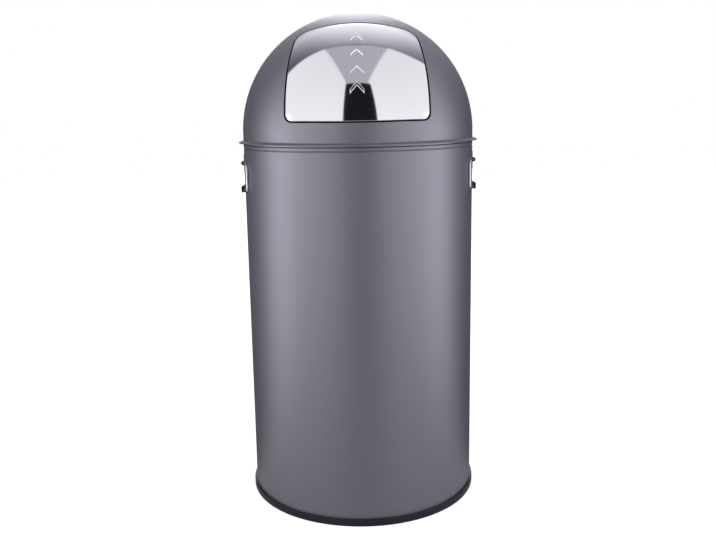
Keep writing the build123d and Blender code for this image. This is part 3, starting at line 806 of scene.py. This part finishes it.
class LightMaths:
    """Short calls for sums in the node trees of the world and the floor"""

    def __init__(self, tree):
        self.tree = tree

    def sum(self, operation, *values):
        node = self.tree.nodes.new("ShaderNodeMath")
        node.operation = operation
        for socket, value in zip(node.inputs, values):
            if isinstance(value, (int, float)):
                socket.default_value = value
            else:
                self.tree.links.new(value, socket)
        return node.outputs[0]

    def step(self, value, low, high):
        # 0 below low, 1 above high, and smooth between
        node = self.tree.nodes.new("ShaderNodeMapRange")
        node.interpolation_type = "SMOOTHSTEP"
        node.inputs["From Min"].default_value = low
        node.inputs["From Max"].default_value = high
        self.tree.links.new(value, node.inputs["Value"])
        return node.outputs["Result"]

    def mix(self, share, low, high):
        # low where the share is 0, high where it is 1
        return self.sum("MULTIPLY_ADD", share, self.sum("SUBTRACT", high, low), low)


# The studio's light by direction: X across, Y away from the front, Z up. A pair of limits says
# where a soft edge begins and ends.
WALL_LIGHT = 0.93
WALL_FADE = 0.17

# The grey ceiling, a wedge between the walls that widens backwards and upwards
CEILING_LIGHT = 0.44
CEILING_WIDENS_BACK = 0.178
CEILING_WIDENS_UP = 0.366
CEILING_SIDES = (-0.03, 0.012)

# The dark gap between the white walls, which spreads to the right towards straight ahead
GAP_LIGHT = 0.012
GAP_LEFT = 0.25
GAP_RIGHT = 0.19
GAP_RIGHT_GROWS = 0.17
GAP_SIDES = (-0.012, 0.012)
GAP_HEIGHT = 1.09
GAP_TOP = (-0.03, 0.02)

# The lit sweep behind, with a lamp far back in its middle, whose side limits count inwards
SWEEP_CENTRE = 0.05
SWEEP_HALF_WIDTH = 0.50
SWEEP_FALL = 3.2
SWEEP_START = 0.30
SWEEP_GROWS = 1.2
SWEEP_FOOT = (0.14, 0.36)
FAR_SHADE = 0.5
FAR_LIMITS = (0.60, 0.85)
BACK_SHADE = 0.03
BACK_LAMP_LIGHT = 4.7
BACK_LAMP_SIDES = (-0.24, -0.03)
BACK_LAMP_DEPTH = (0.54, 0.76)

# Where the sweep meets the walls and the ceiling, and the thin dark joint there
MEETING_PLACE = 0.01
MEETING_LEAN = 0.16
MEETING_EDGE = (-0.01, 0.02)
CORNER_POWER = 6
CORNER_HEIGHT = (0.45, 0.6)
JOINT_SHADE = 0.30
JOINT_EDGE = (0.005, 0.035)

# Lamps at both sides, the left one a little brighter. Their back limits count forwards, and
# their top limits downwards.
LAMP_LIGHT = 2.32
LAMP_TILT = 0.20
LAMP_FRONT = (-0.40, -0.28)
LAMP_BACK = (-0.17, 0.08)
LAMP_TOP = (-0.28, -0.08)

# Dim light takes a tint, which fades with this power of the light as it rises
DIM_TINT = (0.82, 0.78, 1.0, 1)
DIM_POWER = 0.5

# The floor, and the light that it throws back close to the bin
FLOOR_HALF_WIDTH = 6
FLOOR_COLOUR = (0.8, 0.8, 0.8, 1)
FLOOR_ROUGHNESS = 0.9
FLOOR_GLOW = 0.75
NEAR_FLOOR_LIGHT = 0.33
NEAR_FLOOR_SHADE = 0.02
NEAR_FLOOR_BEHIND = (-0.2, 0.35)
NEAR_FLOOR_REACH = 2.6


def studio_light(maths, direction):
    """White walls to the front left and right, lamps at both sides, and a lit sweep behind"""
    parts = maths.tree.nodes.new("ShaderNodeSeparateXYZ")
    maths.tree.links.new(direction, parts.inputs[0])
    x, y, z = parts.outputs
    side = maths.sum("ABSOLUTE", x)
    front = maths.sum("MULTIPLY", y, -1)
    down = maths.sum("MULTIPLY", z, -1)
    # Ahead, a grey ceiling and a dark gap part the white walls
    walls = maths.sum("MULTIPLY_ADD", z, -WALL_FADE, WALL_LIGHT)
    widened = maths.sum("MULTIPLY", z, CEILING_WIDENS_UP)
    widened = maths.sum("MULTIPLY_ADD", y, CEILING_WIDENS_BACK, widened)
    wedge = maths.step(maths.sum("SUBTRACT", widened, side), *CEILING_SIDES)
    gap_right = maths.sum("MULTIPLY_ADD", front, GAP_RIGHT_GROWS, GAP_RIGHT)
    to_right = maths.sum("SUBTRACT", maths.sum("MULTIPLY", front, gap_right), x)
    to_left = maths.sum("ADD", maths.sum("MULTIPLY", front, GAP_LEFT), x)
    between = maths.step(maths.sum("MINIMUM", to_right, to_left), *GAP_SIDES)
    below = maths.sum("SUBTRACT", maths.sum("MULTIPLY", front, GAP_HEIGHT), z)
    gap = maths.sum("MULTIPLY", between, maths.step(below, *GAP_TOP))
    ahead = maths.mix(gap, maths.mix(wedge, walls, CEILING_LIGHT), GAP_LIGHT)
    # Behind, the sweep is lightest in its middle, dark at its foot, and dimmer far back
    rise = maths.sum("MULTIPLY_ADD", y, SWEEP_GROWS, SWEEP_START)
    rise = maths.sum("MINIMUM", rise, 1.0)
    off_centre = maths.sum("ABSOLUTE", maths.sum("SUBTRACT", x, SWEEP_CENTRE))
    fall = maths.sum("POWER", maths.sum("DIVIDE", off_centre, SWEEP_HALF_WIDTH), SWEEP_FALL)
    fall = maths.sum("ADD", fall, 1)
    far = maths.mix(maths.step(y, *FAR_LIMITS), 1.0, FAR_SHADE)
    sweep = maths.sum("MULTIPLY", far, maths.sum("DIVIDE", rise, fall))
    middle = maths.step(maths.sum("MULTIPLY", side, -1), *BACK_LAMP_SIDES)
    back_lamp = maths.sum("MULTIPLY", maths.step(y, *BACK_LAMP_DEPTH), middle)
    sweep = maths.mix(back_lamp, sweep, BACK_LAMP_LIGHT)
    behind = maths.mix(maths.step(z, *SWEEP_FOOT), BACK_SHADE, sweep)
    # The sweep begins further back to the sides, most so high up to the right
    to_the_right = maths.sum("POWER", maths.sum("MAXIMUM", x, 0), CORNER_POWER)
    corner = maths.sum("MULTIPLY", to_the_right, maths.step(z, *CORNER_HEIGHT))
    meeting = maths.sum("MULTIPLY_ADD", side, MEETING_LEAN, MEETING_PLACE)
    meeting = maths.sum("ADD", meeting, corner)
    past_walls = maths.sum("SUBTRACT", y, meeting)
    light = maths.mix(maths.step(past_walls, *MEETING_EDGE), ahead, behind)
    joint = maths.step(maths.sum("ABSOLUTE", past_walls), *JOINT_EDGE)
    light = maths.sum("MULTIPLY", light, maths.mix(joint, 1 - JOINT_SHADE, 1.0))
    # Lamps level with the bin and lower, to its left and right
    beside = maths.sum("MULTIPLY", maths.step(y, *LAMP_FRONT), maths.step(front, *LAMP_BACK))
    lamp = maths.sum("MULTIPLY", beside, maths.step(down, *LAMP_TOP))
    lamp_light = maths.sum("MULTIPLY_ADD", x, -LAMP_TILT, LAMP_LIGHT)
    return maths.mix(lamp, light, lamp_light)


def make_studio():
    """The world, white to camera and transmission rays, with the studio's light for all others"""
    world = bpy.data.worlds.new("studio")
    bpy.context.scene.world = world
    world.use_nodes = True
    tree = world.node_tree
    maths = LightMaths(tree)
    studio = studio_light(maths, tree.nodes.new("ShaderNodeTexCoord").outputs["Generated"])
    rays = tree.nodes.new("ShaderNodeLightPath")
    seen = rays.outputs["Is Camera Ray"]
    direct = maths.sum("MAXIMUM", seen, rays.outputs["Is Transmission Ray"])
    background = tree.nodes["Background"]
    shade = tree.nodes.new("ShaderNodeMix")
    shade.data_type = "RGBA"
    shade.inputs["A"].default_value = DIM_TINT
    shade.inputs["B"].default_value = (1, 1, 1, 1)
    bright = maths.sum("POWER", maths.sum("DIVIDE", studio, WALL_LIGHT), DIM_POWER)
    tree.links.new(maths.sum("MAXIMUM", direct, bright), shade.inputs["Factor"])
    tree.links.new(shade.outputs["Result"], background.inputs["Color"])
    tree.links.new(maths.mix(direct, studio, 1.0), background.inputs["Strength"])


make_studio()


def make_floor():
    """A floor, white with a soft shadow to the camera, that gives the bin the studio's light"""
    bm = bmesh.new()
    bmesh.ops.create_grid(bm, x_segments=1, y_segments=1, size=FLOOR_HALF_WIDTH)
    mesh = bpy.data.meshes.new("floor")
    bm.to_mesh(mesh)
    bm.free()
    floor = bpy.data.objects.new("floor", mesh)
    bpy.context.scene.collection.objects.link(floor)
    material = bpy.data.materials.new("white_floor")
    material.use_nodes = True
    tree = material.node_tree
    white = tree.nodes["Principled BSDF"]
    white.inputs["Base Color"].default_value = FLOOR_COLOUR
    white.inputs["Roughness"].default_value = FLOOR_ROUGHNESS
    white.inputs["Emission Color"].default_value = (1, 1, 1, 1)
    white.inputs["Emission Strength"].default_value = FLOOR_GLOW
    maths = LightMaths(tree)
    place = tree.nodes.new("ShaderNodeTexCoord").outputs["Object"]
    level = tree.nodes.new("ShaderNodeVectorMath")
    level.operation = "NORMALIZE"
    tree.links.new(place, level.inputs[0])
    distance = tree.nodes.new("ShaderNodeVectorMath")
    distance.operation = "LENGTH"
    tree.links.new(place, distance.inputs[0])
    parts = tree.nodes.new("ShaderNodeSeparateXYZ")
    tree.links.new(level.outputs["Vector"], parts.inputs[0])
    behind = maths.step(parts.outputs["Y"], *NEAR_FLOOR_BEHIND)
    near = maths.mix(behind, NEAR_FLOOR_LIGHT, NEAR_FLOOR_SHADE)
    far = maths.step(distance.outputs["Value"], 0, NEAR_FLOOR_REACH)
    light = maths.mix(far, near, studio_light(maths, level.outputs["Vector"]))
    lit = tree.nodes.new("ShaderNodeEmission")
    tree.links.new(light, lit.inputs["Strength"])
    rays = tree.nodes.new("ShaderNodeLightPath")
    blend = tree.nodes.new("ShaderNodeMixShader")
    tree.links.new(rays.outputs["Is Camera Ray"], blend.inputs["Fac"])
    tree.links.new(lit.outputs["Emission"], blend.inputs[1])
    tree.links.new(white.outputs["BSDF"], blend.inputs[2])
    tree.links.new(blend.outputs["Shader"], tree.nodes["Material Output"].inputs["Surface"])
    mesh.materials.append(material)


make_floor()

bpy.context.scene.view_settings.view_transform = "Standard"
